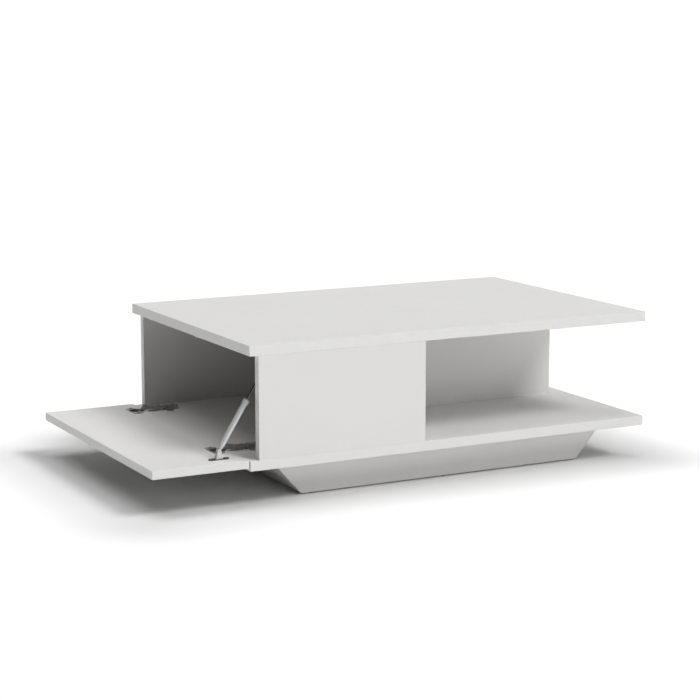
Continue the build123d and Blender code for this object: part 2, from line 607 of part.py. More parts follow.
def hinges():
    """Both hinges: nodes on the board, on the flap and between them."""
    wing_screw = pan_screw(*WING_SCREW_HEAD, WING_SCREW_RADIUS, WING_SCREW_LENGTH)
    wing_level = BASE_TOP + PLATE_WING_HEIGHT
    wing_screws = [Pos(WING_X, side * WING_SCREW, wing_level) * wing_screw for side in (-1, 1)]
    arm_screw = pan_screw(*ARM_SCREW_HEAD, ARM_SCREW_RADIUS, ARM_SCREW_LENGTH)
    arm_screws = [Pos(x, 0, ARM_TOP) * arm_screw for x in ARM_SCREW_X]
    cup_screw = pan_screw(*FLANGE_SCREW_HEAD, FLANGE_SCREW_RADIUS, FLANGE_SCREW_LENGTH)
    flange_level = FLAP_FACE + FLANGE_THICKNESS
    cup_screw_x = CUP_X - FLANGE_OFFSET
    cup_screws = [Pos(cup_screw_x, side * FLANGE_SCREW, flange_level) * cup_screw for side in (-1, 1)]
    pins = {
        "hinge_arm_pins": pin_y(ARM_PIVOT, -ARM_HALF, ARM_HALF, LINK_PIN_RADIUS),
        "hinge_link_pins": pin_y(LINK_PIVOT, -LINK_HALF, LINK_HALF, LINK_PIN_RADIUS),
        "hinge_cup_pins": pin_y(CUP_PIVOT, -LUG_START - LUG_WALL, LUG_START + LUG_WALL, LINK_PIN_RADIUS),
    }
    nodes = {name: for_each_hinge(pin) for name, pin in pins.items()}
    nodes["hinge_mounting_plates"] = for_each_hinge(mounting_plate())
    nodes["hinge_arms"] = for_each_hinge(hinge_arm())
    nodes["hinge_inner_links"] = for_each_hinge(inner_link())
    nodes["hinge_outer_links"] = for_each_hinge(outer_link())
    nodes["hinge_cups"] = for_each_hinge(hinge_cup())
    nodes["mounting_plate_screws"] = for_each_hinge(group(wing_screws))
    nodes["hinge_arm_screws"] = for_each_hinge(group(arm_screws))
    nodes["hinge_cup_screws"] = for_each_hinge(group(cup_screws))
    return nodes


# ------------------------------------------------------------- gas strut
# Distances along the strut are measured from its lower pivot.
EYE_RADIUS = 4.0
EYE_HALF = 3.4
EYE_NECK_RADIUS = 3.0
CLIP_PIN_RADIUS = 1.6
NECK_START = 2.0
SHOULDER_START = 5.2
SHOULDER_RADIUS = 4.4
SOCKET_RADIUS = 5.8
TUBE_START = 13.0
TUBE_END = 115.0
TUBE_WALL = 1.0
TUBE_FLOOR = 2.0
CAP_START = 111.0
CAP_END = 122.0
CAP_RADIUS = 7.25
CAP_CHAMFER = 0.8
SEAL_START = 104.5
SEAL_END = 111.5
PISTON_START = 91.0
PISTON_END = 99.0
ROD_TAIL = 3.0  # rod below the piston
ROD_CLEARANCE = 0.07
PISTON_CLEARANCE = 0.07
BALL_RADIUS = 4.0
BALL_GAP = 0.05
HEAD_RADIUS = 5.6
HEAD_HALF = 5.6
HEAD_CHAMFER = 1.2
HEAD_NECK = 8.5
HEAD_NECK_RADIUS = 4.0
ROD_END = STRUT_LENGTH - 5.5
STUD_NECK = 2.0
STUD_PLAY = 1.0  # round the stud's neck in the socket's mouth
STUD_BASE_RADIUS = 6.2
STUD_BASE = 1.6
PANEL_PLATE = 2.0
STUD_GAP = 0.4  # the stud's base stands this far off the panel plate
PANEL_PLATE_LENGTH = 44.0
PANEL_PLATE_WIDTH = 20.0
PLATE_SCREW_STEP = 15.5
SMALL_HEAD = 3.4
SMALL_SHANK = 1.75
SMALL_LENGTH = 13.0
FOOT_PLATE_LENGTH = 46.0
FOOT_PLATE_WIDTH = 15.0
FOOT_PLATE_HEIGHT = 1.6
FOOT_SCREW_STEP = 17.0
CLIP_BASE = 16.0
CLIP_FOOT_HEIGHT = 4.0
CLIP_CROWN = 4.2  # radius about the pin
CLIP_HALF = 5.4
CLIP_SLOT_HALF = EYE_HALF + SIDE_PLAY
CLIP_SLOT_DROP = 1.0  # the slot's floor below the eye

STRUT_LINE = Plane(
    origin=(STRUT_FOOT[0], STRUT_Y, STRUT_FOOT[1]),
    x_dir=(0, 1, 0),
    z_dir=(cos(radians(STRUT_ANGLE)), 0, sin(radians(STRUT_ANGLE))),
)
PANEL_FACE = FRONT + PANEL


def along_strut(start, end, radius):
    """Round bar on the strut's line between two distances."""
    bar = Cylinder(radius, end - start, align=(Align.CENTER, Align.CENTER, Align.MIN))
    return STRUT_LINE.location * (Pos(0, 0, start) * bar)


def strut_cylinder():
    """Lower end of the strut: eye, tube, guide seal and end cap."""
    eye = pin_y(STRUT_FOOT, STRUT_Y - EYE_HALF, STRUT_Y + EYE_HALF, EYE_RADIUS)
    neck = along_strut(NECK_START, TUBE_START, EYE_NECK_RADIUS)
    shoulder = Cone(
        SHOULDER_RADIUS,
        SOCKET_RADIUS,
        TUBE_START - SHOULDER_START,
        align=(Align.CENTER, Align.CENTER, Align.MIN),
    )
    neck += STRUT_LINE.location * (Pos(0, 0, SHOULDER_START) * shoulder)
    hole = pin_y(STRUT_FOOT, STRUT_Y - CLIP_HALF, STRUT_Y + CLIP_HALF, CLIP_PIN_RADIUS + PIN_CLEARANCE)
    tube = along_strut(TUBE_START, TUBE_END, STRUT_TUBE_RADIUS)
    tube -= along_strut(TUBE_START + TUBE_FLOOR, TUBE_END + 1, STRUT_TUBE_RADIUS - TUBE_WALL)
    rod_hole = along_strut(SEAL_START - 1, CAP_END + 1, STRUT_ROD_RADIUS + ROD_CLEARANCE)
    cap = along_strut(CAP_START, CAP_END, CAP_RADIUS)
    cap = chamfer(cap.edges().filter_by(GeomType.CIRCLE), CAP_CHAMFER)
    cap -= along_strut(CAP_START - 1, TUBE_END, STRUT_TUBE_RADIUS)
    cap += along_strut(SEAL_END, TUBE_END, STRUT_TUBE_RADIUS - TUBE_WALL)
    seal = along_strut(SEAL_START, SEAL_END, STRUT_TUBE_RADIUS - TUBE_WALL)
    return {
        "strut_lower_socket": eye + neck - hole,
        "strut_tube": tube,
        "strut_end_cap": cap - rod_hole,
        "strut_guide_seal": seal - rod_hole,
    }


def strut_rod():
    """Upper end of the strut: piston, rod, ball socket and ball stud."""
    bore_radius = STRUT_TUBE_RADIUS - TUBE_WALL
    piston = along_strut(PISTON_START, PISTON_END, bore_radius - PISTON_CLEARANCE)
    rod = along_strut(PISTON_START - ROD_TAIL, ROD_END, STRUT_ROD_RADIUS)
    head = pin_y(STRUT_HEAD, STRUT_Y - HEAD_HALF, STRUT_Y + HEAD_HALF, HEAD_RADIUS)
    head = chamfer(head.edges().filter_by(GeomType.CIRCLE), HEAD_CHAMFER)
    head += along_strut(STRUT_LENGTH - HEAD_NECK, STRUT_LENGTH, HEAD_NECK_RADIUS)
    centre = Pos(STRUT_HEAD[0], STRUT_Y, STRUT_HEAD[1])
    head -= centre * Sphere(BALL_RADIUS + BALL_GAP)
    head -= pin_y(STRUT_HEAD, STRUT_Y - HEAD_HALF - 1, STRUT_Y, STUD_NECK + STUD_PLAY)
    head -= along_strut(STRUT_LENGTH - HEAD_NECK - 1, ROD_END, STRUT_ROD_RADIUS)
    stud_low = PANEL_FACE + PANEL_PLATE + STUD_GAP
    stud = centre * Sphere(BALL_RADIUS)
    stud += pin_y(STRUT_HEAD, stud_low, STRUT_Y - 1, STUD_NECK)
    stud += pin_y(STRUT_HEAD, stud_low, stud_low + STUD_BASE, STUD_BASE_RADIUS)
    return {
        "strut_piston": piston - along_strut(PISTON_START - 1, PISTON_END + 1, STRUT_ROD_RADIUS),
        "strut_rod": rod,
        "strut_upper_socket": head,
        "strut_ball_stud": stud,
    }


def flap_bracket():
    """Foot plate on the flap with a white forked clip that holds the strut's eye."""
    x, level = STRUT_FOOT[0], FLAP_FACE
    spots = [(x + side * FOOT_SCREW_STEP, STRUT_Y, level + FOOT_PLATE_HEIGHT) for side in (-1, 1)]
    plate = extrude(SlotOverall(FOOT_PLATE_LENGTH, FOOT_PLATE_WIDTH), FOOT_PLATE_HEIGHT)
    plate = Pos(x, STRUT_Y, level) * plate
    base = level + FOOT_PLATE_HEIGHT
    low = (x, base + CLIP_FOOT_HEIGHT / 2)
    outline = link_profile(low, STRUT_FOOT, (CLIP_FOOT_HEIGHT / 2, CLIP_CROWN))
    foot = make_face(
        Polyline(
            (x - CLIP_BASE / 2, base),
            (x + CLIP_BASE / 2, base),
            (x + CLIP_CROWN, STRUT_FOOT[1]),
            (x - CLIP_CROWN, STRUT_FOOT[1]),
            close=True,
        )
    )
    clip = across(outline + foot, STRUT_Y - CLIP_HALF, STRUT_Y + CLIP_HALF)
    slot_low = STRUT_FOOT[1] - EYE_RADIUS - CLIP_SLOT_DROP
    slot_y = (STRUT_Y - CLIP_SLOT_HALF, STRUT_Y + CLIP_SLOT_HALF)
    clip -= block(x - CLIP_BASE, x + CLIP_BASE, *slot_y, slot_low, STRUT_FOOT[1] + CLIP_BASE)
    clip -= pin_y(STRUT_FOOT, STRUT_Y - CLIP_HALF - 1, STRUT_Y + CLIP_HALF + 1, CLIP_PIN_RADIUS)
    screw = sunk_screw(SMALL_HEAD, SMALL_SHANK, SMALL_LENGTH)
    cuts = [sunk_hole(spot, UP, SMALL_HEAD, SMALL_SHANK, SMALL_LENGTH) for spot in spots]
    nodes = {
        "strut_flap_plate": drilled(plate, cuts),
        "strut_bracket_clip": clip,
        "strut_clip_pin": pin_y(STRUT_FOOT, STRUT_Y - CLIP_HALF, STRUT_Y + CLIP_HALF, CLIP_PIN_RADIUS),
        "strut_flap_screws": group([placed(screw, spot, UP) for spot in spots]),
    }
    return nodes, cuts


def panel_bracket():
    """Plate on the front panel's inner face that the ball stud stands on."""
    tilt = Rot(0, 0, STRUT_ANGLE)
    outline = Pos(*STRUT_HEAD) * tilt * SlotOverall(PANEL_PLATE_LENGTH, PANEL_PLATE_WIDTH)
    plate = across(outline, PANEL_FACE, PANEL_FACE + PANEL_PLATE)
    spots = []
    for side in (-1, 1):
        x = STRUT_HEAD[0] + side * PLATE_SCREW_STEP * cos(radians(STRUT_ANGLE))
        z = STRUT_HEAD[1] + side * PLATE_SCREW_STEP * sin(radians(STRUT_ANGLE))
        spots.append((x, PANEL_FACE + PANEL_PLATE, z))
    screw = sunk_screw(SMALL_HEAD, SMALL_SHANK, SMALL_LENGTH)
    cuts = [sunk_hole(spot, BACKWARD, SMALL_HEAD, SMALL_SHANK, SMALL_LENGTH) for spot in spots]
    nodes = {
        "strut_panel_plate": drilled(plate, cuts),
        "strut_panel_screws": group([placed(screw, spot, BACKWARD) for spot in spots]),
    }
    return nodes, cuts


# ------------------------------------------------------------- push-to-open latch
LATCH_LENGTH = 66.0
LATCH_HEIGHT = 11.0
LATCH_HALF = 8.0
LATCH_X = PANEL_LEFT + 2.0
LATCH_EAR = 7.0
LATCH_EAR_LENGTH = 12.0
LATCH_EAR_HEIGHT = 2.5
LATCH_EAR_CORNER = 3.0
LATCH_ROUND = 2.5
LATCH_SCREW = (2.6, 1.3, 13.0)  # head radius, shank radius and length
LATCH_SCREW_Y = LATCH_HALF + LATCH_EAR / 2 + 0.3
PLUNGER_RADIUS = 3.0
PLUNGER_Z = TOP_UNDER - LATCH_HEIGHT / 2
PLUNGER_TIP = LEFT + PANEL + 0.6
PLUNGER_END = PLUNGER_TIP + 40.0
TIP_LENGTH = 2.0
LATCH_BORE_END = PLUNGER_END + 17.0
SPRING_RADIUS = 2.1
SPRING_WIRE = 0.3
SPRING_PITCH = 1.7
SPRING_GAP = 0.1  # between the coil's wire and what it stands on
TIP_ROUND = 0.8


def latch():
    """Spring-loaded push opener under the top board, behind the flap's upper edge."""
    latch_low = TOP_UNDER - LATCH_HEIGHT
    body = block(LATCH_X, LATCH_X + LATCH_LENGTH, -LATCH_HALF, LATCH_HALF, latch_low, TOP_UNDER)
    body = fillet(body.edges().filter_by(Axis.X).group_by(Axis.Z)[0], LATCH_ROUND)
    ear_x = LATCH_X + LATCH_LENGTH - LATCH_EAR_LENGTH
    reach = LATCH_HALF + LATCH_EAR
    ears = block(ear_x, ear_x + LATCH_EAR_LENGTH, -reach, reach, TOP_UNDER - LATCH_EAR_HEIGHT, TOP_UNDER)
    ears = fillet(ears.edges().filter_by(Axis.Z), LATCH_EAR_CORNER)
    screw_x = ear_x + LATCH_EAR_LENGTH / 2
    spots = [(screw_x, side * LATCH_SCREW_Y, TOP_UNDER - LATCH_EAR_HEIGHT) for side in (-1, 1)]
    cuts = [sunk_hole(spot, DOWN, *LATCH_SCREW) for spot in spots]
    screws = [placed(sunk_screw(*LATCH_SCREW), spot, DOWN) for spot in spots]
    line = Plane(origin=(0, 0, PLUNGER_Z), x_dir=BACKWARD, z_dir=(1, 0, 0))

    def on_line(start, end, radius):
        bar = Cylinder(radius, end - start, align=(Align.CENTER, Align.CENTER, Align.MIN))
        return line.location * (Pos(0, 0, start) * bar)

    tunnel = on_line(LATCH_X - 1, LATCH_BORE_END, PLUNGER_RADIUS + PIN_CLEARANCE)
    coil_length = LATCH_BORE_END - PLUNGER_END - 2 * (SPRING_WIRE + SPRING_GAP)
    coil_path = Helix(SPRING_PITCH, coil_length, SPRING_RADIUS)
    coil = sweep(Plane(origin=coil_path @ 0, z_dir=coil_path % 0) * Circle(SPRING_WIRE), path=coil_path)
    coil = line.location * (Pos(0, 0, PLUNGER_END + SPRING_WIRE + SPRING_GAP) * coil)
    nodes = {
        "latch_housing": body + ears - cuts - tunnel,
        "latch_screws": group(screws),
        "latch_spring": coil,
        "latch_plunger": on_line(PLUNGER_TIP + TIP_LENGTH, PLUNGER_END, PLUNGER_RADIUS),
        "latch_tip": on_line(PLUNGER_TIP, PLUNGER_TIP + TIP_LENGTH, PLUNGER_RADIUS),
    }
    nodes["latch_tip"] = fillet(nodes["latch_tip"].edges().sort_by(Axis.X)[0], TIP_ROUND)
    return nodes, cuts


# ------------------------------------------------------------- boards
def panel_edges():
    """Edge strips on the uprights' upright edges that show."""
    t = EDGING
    strips = []
    for y0, y1 in ((FRONT, FRONT + PANEL), (BACK - PANEL, BACK)):
        for x in (PANEL_LEFT, PANEL_RIGHT - t):
            strips.append(block(x, x + t, y0, y1, BASE_TOP, TOP_UNDER))
    strips.append(block(SPINE_RIGHT - t, SPINE_RIGHT, -PANEL_MID, PANEL_MID, BASE_TOP, TOP_UNDER))
    return group(strips)


def uprights():
    """Front, back, divider and spine panels, drilled for their fittings."""
    t = EDGING
    levels = (BASE_TOP, TOP_UNDER)
    blanks = {
        "front_panel": block(PANEL_LEFT + t, PANEL_RIGHT - t, FRONT, FRONT + PANEL, *levels),
        "back_panel": block(PANEL_LEFT + t, PANEL_RIGHT - t, BACK - PANEL, BACK, *levels),
        "divider_panel": block(DIVIDER_LEFT, PANEL_RIGHT, FRONT + PANEL, BACK - PANEL, *levels),
        "spine_panel": block(PANEL_RIGHT, SPINE_RIGHT - t, -PANEL_MID, PANEL_MID, *levels),
    }
    return {name: drilled(blank, upright_cuts(JOINTS[name])) for name, blank in blanks.items()}


def top_board(latch_cuts):
    """Top board with blind holes for cam bolts, dowels and the latch."""
    board = cored(LEFT, RIGHT, FRONT, BACK, TOP_UNDER, TOP_FACE)
    thread_hole = (BOLT_THREAD_RADIUS + SCREW_BORE_GAP, BOLT_THREAD + BORE_SPARE)
    cuts = [bore((x, y, TOP_UNDER), DOWN, *thread_hole) for x, y, _ in ALL_JOINTS]
    cuts += [bore((x, y, TOP_UNDER), DOWN, *DOWEL_HOLE) for x, y in dowel_points()]
    return drilled(board, cuts + latch_cuts)


def bottom_board(block_cuts):
    """Bottom board, drilled for the uprights, the hinges and the plinth."""
    board = cored(LEFT, RIGHT, FRONT, BACK, BASE_UNDER, BASE_TOP)
    cuts = [
        sunk_hole((x, y, BASE_UNDER), DOWN, BASE_SCREW_HEAD, BASE_SCREW_RADIUS, BASE_SCREW_LENGTH)
        for x, y, _ in ALL_JOINTS
    ]
    cuts += [bore((x, y, BASE_TOP), UP, *DOWEL_HOLE) for x, y in dowel_points()]
    depth = WING_SCREW_LENGTH - PLATE_WING_HEIGHT + BORE_SPARE
    cuts += [
        bore((WING_X, y + side * WING_SCREW, BASE_TOP), UP, WING_SCREW_RADIUS + SCREW_BORE_GAP, depth)
        for y in HINGE_Y
        for side in (-1, 1)
    ]
    return drilled(board, cuts + block_cuts)


def flap_panel(bracket_cuts):
    """Flap core with its cup bores and screw holes."""
    board = cored(FLAP_LEFT, FLAP_RIGHT, FRONT, BACK, FLAP_FACE - PANEL, FLAP_FACE)
    depth = FLANGE_SCREW_LENGTH - FLANGE_THICKNESS + BORE_SPARE
    for y in HINGE_Y:
        board -= bore((CUP_X, y, FLAP_FACE), UP, CUP_RADIUS + CUP_BORE_GAP / 2, CUP_DEPTH + CUP_BORE_GAP)
        for side in (-1, 1):
            seat = (CUP_X - FLANGE_OFFSET, y + side * FLANGE_SCREW, FLAP_FACE)
            board -= bore(seat, UP, FLANGE_SCREW_RADIUS + SCREW_BORE_GAP, depth)
    return drilled(board, bracket_cuts)


def build():
    """Every node of the table by name."""
    cams, bolts, caps, screws, dowels = knock_down_fittings()
    plinth_nodes, block_cuts, plinth_dowels = plinth()
    flap_bracket_nodes, flap_cuts = flap_bracket()
    panel_bracket_nodes, panel_cuts = panel_bracket()
    latch_nodes, latch_cuts = latch()
    nodes = {
        "top_board": top_board(latch_cuts),
        "top_board_edging": edging_ring(LEFT, RIGHT, FRONT, BACK, TOP_UNDER, TOP_FACE),
        "bottom_board": bottom_board(block_cuts),
        "bottom_board_edging": edging_ring(LEFT, RIGHT, FRONT, BACK, BASE_UNDER, BASE_TOP),
        "panel_edging": panel_edges(),
        "flap_panel": flap_panel(flap_cuts),
        "flap_edging": edging_ring(FLAP_LEFT, FLAP_RIGHT, FRONT, BACK, FLAP_FACE - PANEL, FLAP_FACE),
        "cam_locks": group(cams),
        "cam_bolts": group(bolts),
        "cam_caps": group(caps),
        "base_screws": group(screws),
        "wood_dowels": group(dowels + plinth_dowels),
        "floor_glides": floor_glides(),
    }
    nodes |= uprights()
    nodes["front_panel"] = drilled(nodes["front_panel"], panel_cuts)
    for more in (plinth_nodes, hinges(), strut_cylinder(), strut_rod()):
        nodes |= more
    for more in (flap_bracket_nodes, panel_bracket_nodes, latch_nodes):
        nodes |= more
    return nodes


os.makedirs("parts", exist_ok=True)
for node_name, node_shape in build().items():
    export_step(node_shape, f"parts/{node_name}.step")
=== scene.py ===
"""Coffee table with a drop-down end flap: materials, fine shapes, light and camera."""
import json
import math

import bpy
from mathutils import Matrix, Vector


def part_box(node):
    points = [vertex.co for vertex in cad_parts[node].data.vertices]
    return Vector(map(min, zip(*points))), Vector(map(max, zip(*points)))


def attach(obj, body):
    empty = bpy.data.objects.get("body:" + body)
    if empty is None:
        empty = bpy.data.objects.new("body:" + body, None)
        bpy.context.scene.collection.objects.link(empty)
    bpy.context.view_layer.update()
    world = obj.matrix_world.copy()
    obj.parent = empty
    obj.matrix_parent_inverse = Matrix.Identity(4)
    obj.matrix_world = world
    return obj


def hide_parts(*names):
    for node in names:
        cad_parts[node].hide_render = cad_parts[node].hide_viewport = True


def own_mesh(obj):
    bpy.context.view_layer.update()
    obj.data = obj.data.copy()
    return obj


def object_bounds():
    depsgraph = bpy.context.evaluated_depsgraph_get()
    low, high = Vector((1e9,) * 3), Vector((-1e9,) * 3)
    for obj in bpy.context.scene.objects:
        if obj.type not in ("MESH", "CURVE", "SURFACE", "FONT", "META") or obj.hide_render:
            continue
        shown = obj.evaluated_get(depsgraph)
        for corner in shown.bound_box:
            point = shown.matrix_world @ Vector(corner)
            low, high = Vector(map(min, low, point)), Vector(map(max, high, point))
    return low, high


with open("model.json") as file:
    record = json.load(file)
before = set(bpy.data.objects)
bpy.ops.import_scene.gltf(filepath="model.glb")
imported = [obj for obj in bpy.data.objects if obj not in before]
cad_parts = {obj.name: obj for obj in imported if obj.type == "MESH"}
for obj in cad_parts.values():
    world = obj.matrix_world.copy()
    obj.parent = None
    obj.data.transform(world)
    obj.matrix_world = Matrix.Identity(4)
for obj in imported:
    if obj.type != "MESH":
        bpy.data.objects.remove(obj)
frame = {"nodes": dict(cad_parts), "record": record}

CAD_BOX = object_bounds()
NODES = frame["nodes"]
MM = 0.001

# ---------------------------------------------------------------- colours (linear) and finishes
WHITE = (0.820, 0.815, 0.804)
WHITE_SHADED = (0.806, 0.801, 0.789)
EDGE_WHITE = (0.828, 0.825, 0.816)
RUBBED = (0.50, 0.485, 0.46)
NICKEL = (0.56, 0.545, 0.52)
NICKEL_BRIGHT = (0.72, 0.705, 0.68)
DARK_PLATE = (0.15, 0.15, 0.155)
ZINC_PLATE = (0.56, 0.565, 0.57)
STRUT_PAINT = (0.78, 0.785, 0.79)
POLISHED = (0.74, 0.74, 0.75)
CLIP_WHITE = (0.76, 0.755, 0.74)
GLIDE_GREY = (0.30, 0.30, 0.295)
RUBBER = (0.022, 0.022, 0.023)
CAST_ZINC = (0.50, 0.50, 0.505)
PINE_LIGHT = (0.66, 0.46, 0.27)
PINE_DARK = (0.47, 0.28, 0.135)


# ---------------------------------------------------------------- node graph helper
class Graph:
    """One material's node tree, with short calls that add a node and join it up."""

    def __init__(self, name, colour, roughness, metallic=0.0, specular=0.5, coat=0.0):
        self.material = bpy.data.materials.new(name)
        self.material.use_nodes = True
        self.tree = self.material.node_tree
        self.shader = self.tree.nodes["Principled BSDF"]
        self.place = self.add("ShaderNodeTexCoord").outputs["Object"]
        self.put("Base Color", (*colour, 1.0))
        self.put("Roughness", roughness)
        self.put("Metallic", metallic)
        self.put("Specular IOR Level", specular)
        self.put("Coat Weight", coat)

    def add(self, kind, inputs=None, **settings):
        """Adds a node; inputs are numbers or other nodes' sockets."""
        node = self.tree.nodes.new(kind)
        for key, value in settings.items():
            setattr(node, key, value)
        for key, value in (inputs or {}).items():
            self.feed(node.inputs[key], value)
        return node

    def feed(self, socket, value):
        """Joins another socket to this one, or sets its number."""
        if isinstance(value, bpy.types.NodeSocket):
            self.tree.links.new(value, socket)
        else:
            socket.default_value = value

    def put(self, name, value):
        """Sets or joins one of the shader's own sockets."""
        self.feed(self.shader.inputs[name], value)

    def math(self, operation, a, b=0.0, clamp=False):
        return self.add("ShaderNodeMath", {0: a, 1: b}, operation=operation, use_clamp=clamp).outputs[0]

    def vector(self, operation, a, b=(0.0, 0.0, 0.0)):
        return self.add("ShaderNodeVectorMath", {0: a, 1: b}, operation=operation).outputs[0]

    def stretched(self, scale, offset=(0.0, 0.0, 0.0)):
        """The object's coordinates, scaled along each axis."""
        inputs = {"Vector": self.place, "Scale": scale, "Location": offset}
        return self.add("ShaderNodeMapping", inputs).outputs[0]

    def noise(self, scale, detail=4.0, roughness=0.5, place=None, distortion=0.0):
        """Noise of about 1/scale metres, from 0 to 1."""
        inputs = {"Vector": place or self.place, "Scale": scale, "Detail": detail, "Roughness": roughness,
                  "Distortion": distortion}
        return self.add("ShaderNodeTexNoise", inputs).outputs[0]

    def remap(self, value, low, high, to_low=0.0, to_high=1.0):
        """A smooth step from to_low at low to to_high at high."""
        inputs = {"Value": value, "From Min": low, "From Max": high, "To Min": to_low, "To Max": to_high}
        return self.add("ShaderNodeMapRange", inputs, interpolation_type="SMOOTHSTEP").outputs[0]

    def mix(self, factor, a, b):
        """One colour turning into another."""
        node = self.add("ShaderNodeMix", data_type="RGBA")
        self.feed(node.inputs[0], factor)
        self.feed(node.inputs[6], a if isinstance(a, bpy.types.NodeSocket) else (*a, 1.0))
        self.feed(node.inputs[7], b if isinstance(b, bpy.types.NodeSocket) else (*b, 1.0))
        return node.outputs[2]

    def bump(self, height, distance, strength=1.0, under=None):
        """Surface relief of that depth in metres, on top of an earlier one."""
        inputs = {"Height": height, "Distance": distance, "Strength": strength}
        if under is not None:
            inputs["Normal"] = under
        return self.add("ShaderNodeBump", inputs).outputs[0]

    def from_edge(self, lo, hi):
        """Distance in metres from the nearest edge of the box lo..hi, for a point on its surface.

        It is the middle one of the distances to the box's three pairs of faces."""
        centre = (Vector(lo) + Vector(hi)) / 2
        half = (Vector(hi) - Vector(lo)) / 2
        off_centre = self.vector("ABSOLUTE", self.vector("SUBTRACT", self.place, tuple(centre)))
        inside = self.vector("SUBTRACT", tuple(half), off_centre)
        axes = self.add("ShaderNodeSeparateXYZ", {0: inside}).outputs
        small = self.math("MINIMUM", axes[0], axes[1])
        large = self.math("MAXIMUM", axes[0], axes[1])
        return self.math("MAXIMUM", small, self.math("MINIMUM", large, axes[2]))


# ---------------------------------------------------------------- materials
MELAMINE_ROUGH = (0.46, 0.6)
RUB_WIDTH = 2.2 * MM
RUB_RAGGED = 2.6 * MM
RUB_TINT = 0.35
RUB_ROUGHER = 0.12


def melamine(name, box):
    """Satin white melamine: fine pressed texture, a slow drift of tone, hazy patches, rubbed edges."""
    g = Graph(name, WHITE, 0.5, specular=0.32)
    drift = g.noise(1.7, 3.0)
    haze = g.noise(26.0, 5.0, 0.62)
    specks = g.noise(520.0, 2.0, 0.5)
    colour = g.mix(g.remap(drift, 0.3, 0.7), WHITE_SHADED, WHITE)
    colour = g.mix(g.remap(specks, 0.66, 0.8, 0.0, 0.22), colour, RUBBED)
    rough = g.remap(haze, 0.25, 0.75, *MELAMINE_ROUGH)
    ragged = g.math("MULTIPLY", g.noise(210.0, 4.0, 0.6), RUB_RAGGED)
    near = g.math("ADD", g.from_edge(*box), ragged)
    rub = g.remap(near, RUB_WIDTH / 2, RUB_WIDTH, 1.0, 0.0)
    g.put("Base Color", g.mix(g.math("MULTIPLY", rub, RUB_TINT), colour, RUBBED))
    g.put("Roughness", g.math("ADD", rough, g.math("MULTIPLY", rub, RUB_ROUGHER)))
    wavy = g.bump(g.noise(9.0, 2.0, 0.4), 0.0005, 0.35)
    g.put("Normal", g.bump(g.noise(950.0, 3.0, 0.55), 0.00003, 0.6, wavy))
    return g.material


def edge_band(name):
    """White edge strip: a touch brighter and smoother than the boards, with faint drawing lines along it."""
    g = Graph(name, EDGE_WHITE, 0.33)
    along = g.noise(1.0, 3.0, 0.5, g.stretched((14.0, 14.0, 1900.0)))
    patches = g.noise(33.0, 4.0, 0.6)
    g.put("Base Color", g.mix(g.remap(patches, 0.35, 0.75, 0.0, 0.5), EDGE_WHITE, WHITE_SHADED))
    g.put("Roughness", g.remap(along, 0.3, 0.7, 0.27, 0.42))
    fine = g.bump(along, 0.00002, 0.5)
    g.put("Normal", g.bump(g.noise(700.0, 3.0), 0.00003, 0.5, fine))
    return g.material


def worn_edge(name, colour, roughness, metallic=0.0):
    """What shows on a rounded edge: the same stuff, rubbed brighter and smoother in patches."""
    g = Graph(name, colour, roughness, metallic)
    patches = g.noise(240.0, 4.0, 0.65)
    lighter = tuple(min(1.0, c * 1.12) for c in colour)
    darker = tuple(c * 0.86 for c in colour)
    g.put("Base Color", g.mix(g.remap(patches, 0.35, 0.68), darker, lighter))
    g.put("Roughness", g.remap(patches, 0.3, 0.7, roughness * 0.8, roughness * 1.3))
    return g.material


def raw_wood(name, along=(1.0, 14.0, 14.0)):
    """Planed softwood: rings drawn out along the grain, with pores."""
    g = Graph(name, PINE_LIGHT, 0.62, specular=0.3)
    place = g.stretched(along)
    bend = g.noise(3.0, 3.0, 0.5, place)
    rings = g.add("ShaderNodeTexWave", {"Vector": place, "Scale": 5.0, "Distortion": 5.5, "Detail": 3.0,
                                        "Detail Scale": 1.6}, wave_type="RINGS").outputs["Fac"]
    grain = g.math("MULTIPLY", g.math("ADD", rings, bend), 0.5)
    pores = g.noise(260.0, 2.0, 0.5, place)
    colour = g.mix(g.remap(grain, 0.25, 0.8), PINE_LIGHT, PINE_DARK)
    g.put("Base Color", g.mix(g.remap(pores, 0.62, 0.76, 0.0, 0.45), colour, PINE_DARK))
    g.put("Roughness", g.remap(pores, 0.3, 0.7, 0.55, 0.72))
    g.put("Normal", g.bump(g.math("ADD", grain, pores), 0.0002, 0.5))
    return g.material


def plated_steel(name, colour, roughness, scratch=0.5, metallic=1.0):
    """Stamped and plated steel: cloudy plating, tumbling marks and short scratches both ways."""
    g = Graph(name, colour, roughness, metallic)
    cloud = g.noise(160.0, 5.0, 0.6)
    marks = g.add("ShaderNodeTexVoronoi", {"Vector": g.place, "Scale": 520.0, "Randomness": 1.0},
                  feature="DISTANCE_TO_EDGE").outputs["Distance"]
    one_way = g.noise(1.0, 2.0, 0.5, g.stretched((260.0, 6500.0, 6500.0)))
    other_way = g.noise(1.0, 2.0, 0.5, g.stretched((6500.0, 320.0, 6500.0), (3.1, 0.4, 7.7)))
    scratches = g.math("MAXIMUM", one_way, other_way)
    darker = tuple(c * 0.72 for c in colour)
    g.put("Base Color", g.mix(g.remap(cloud, 0.3, 0.72), darker, colour))
    rough = g.remap(cloud, 0.3, 0.7, roughness * 0.75, roughness * 1.3)
    g.put("Roughness", g.math("ADD", rough, g.remap(scratches, 0.6, 0.75, 0.0, 0.16), clamp=True))
    dents = g.bump(g.remap(marks, 0.0, 0.12), 0.00002, 0.5)
    g.put("Normal", g.bump(scratches, 0.00002, scratch, dents))
    return g.material


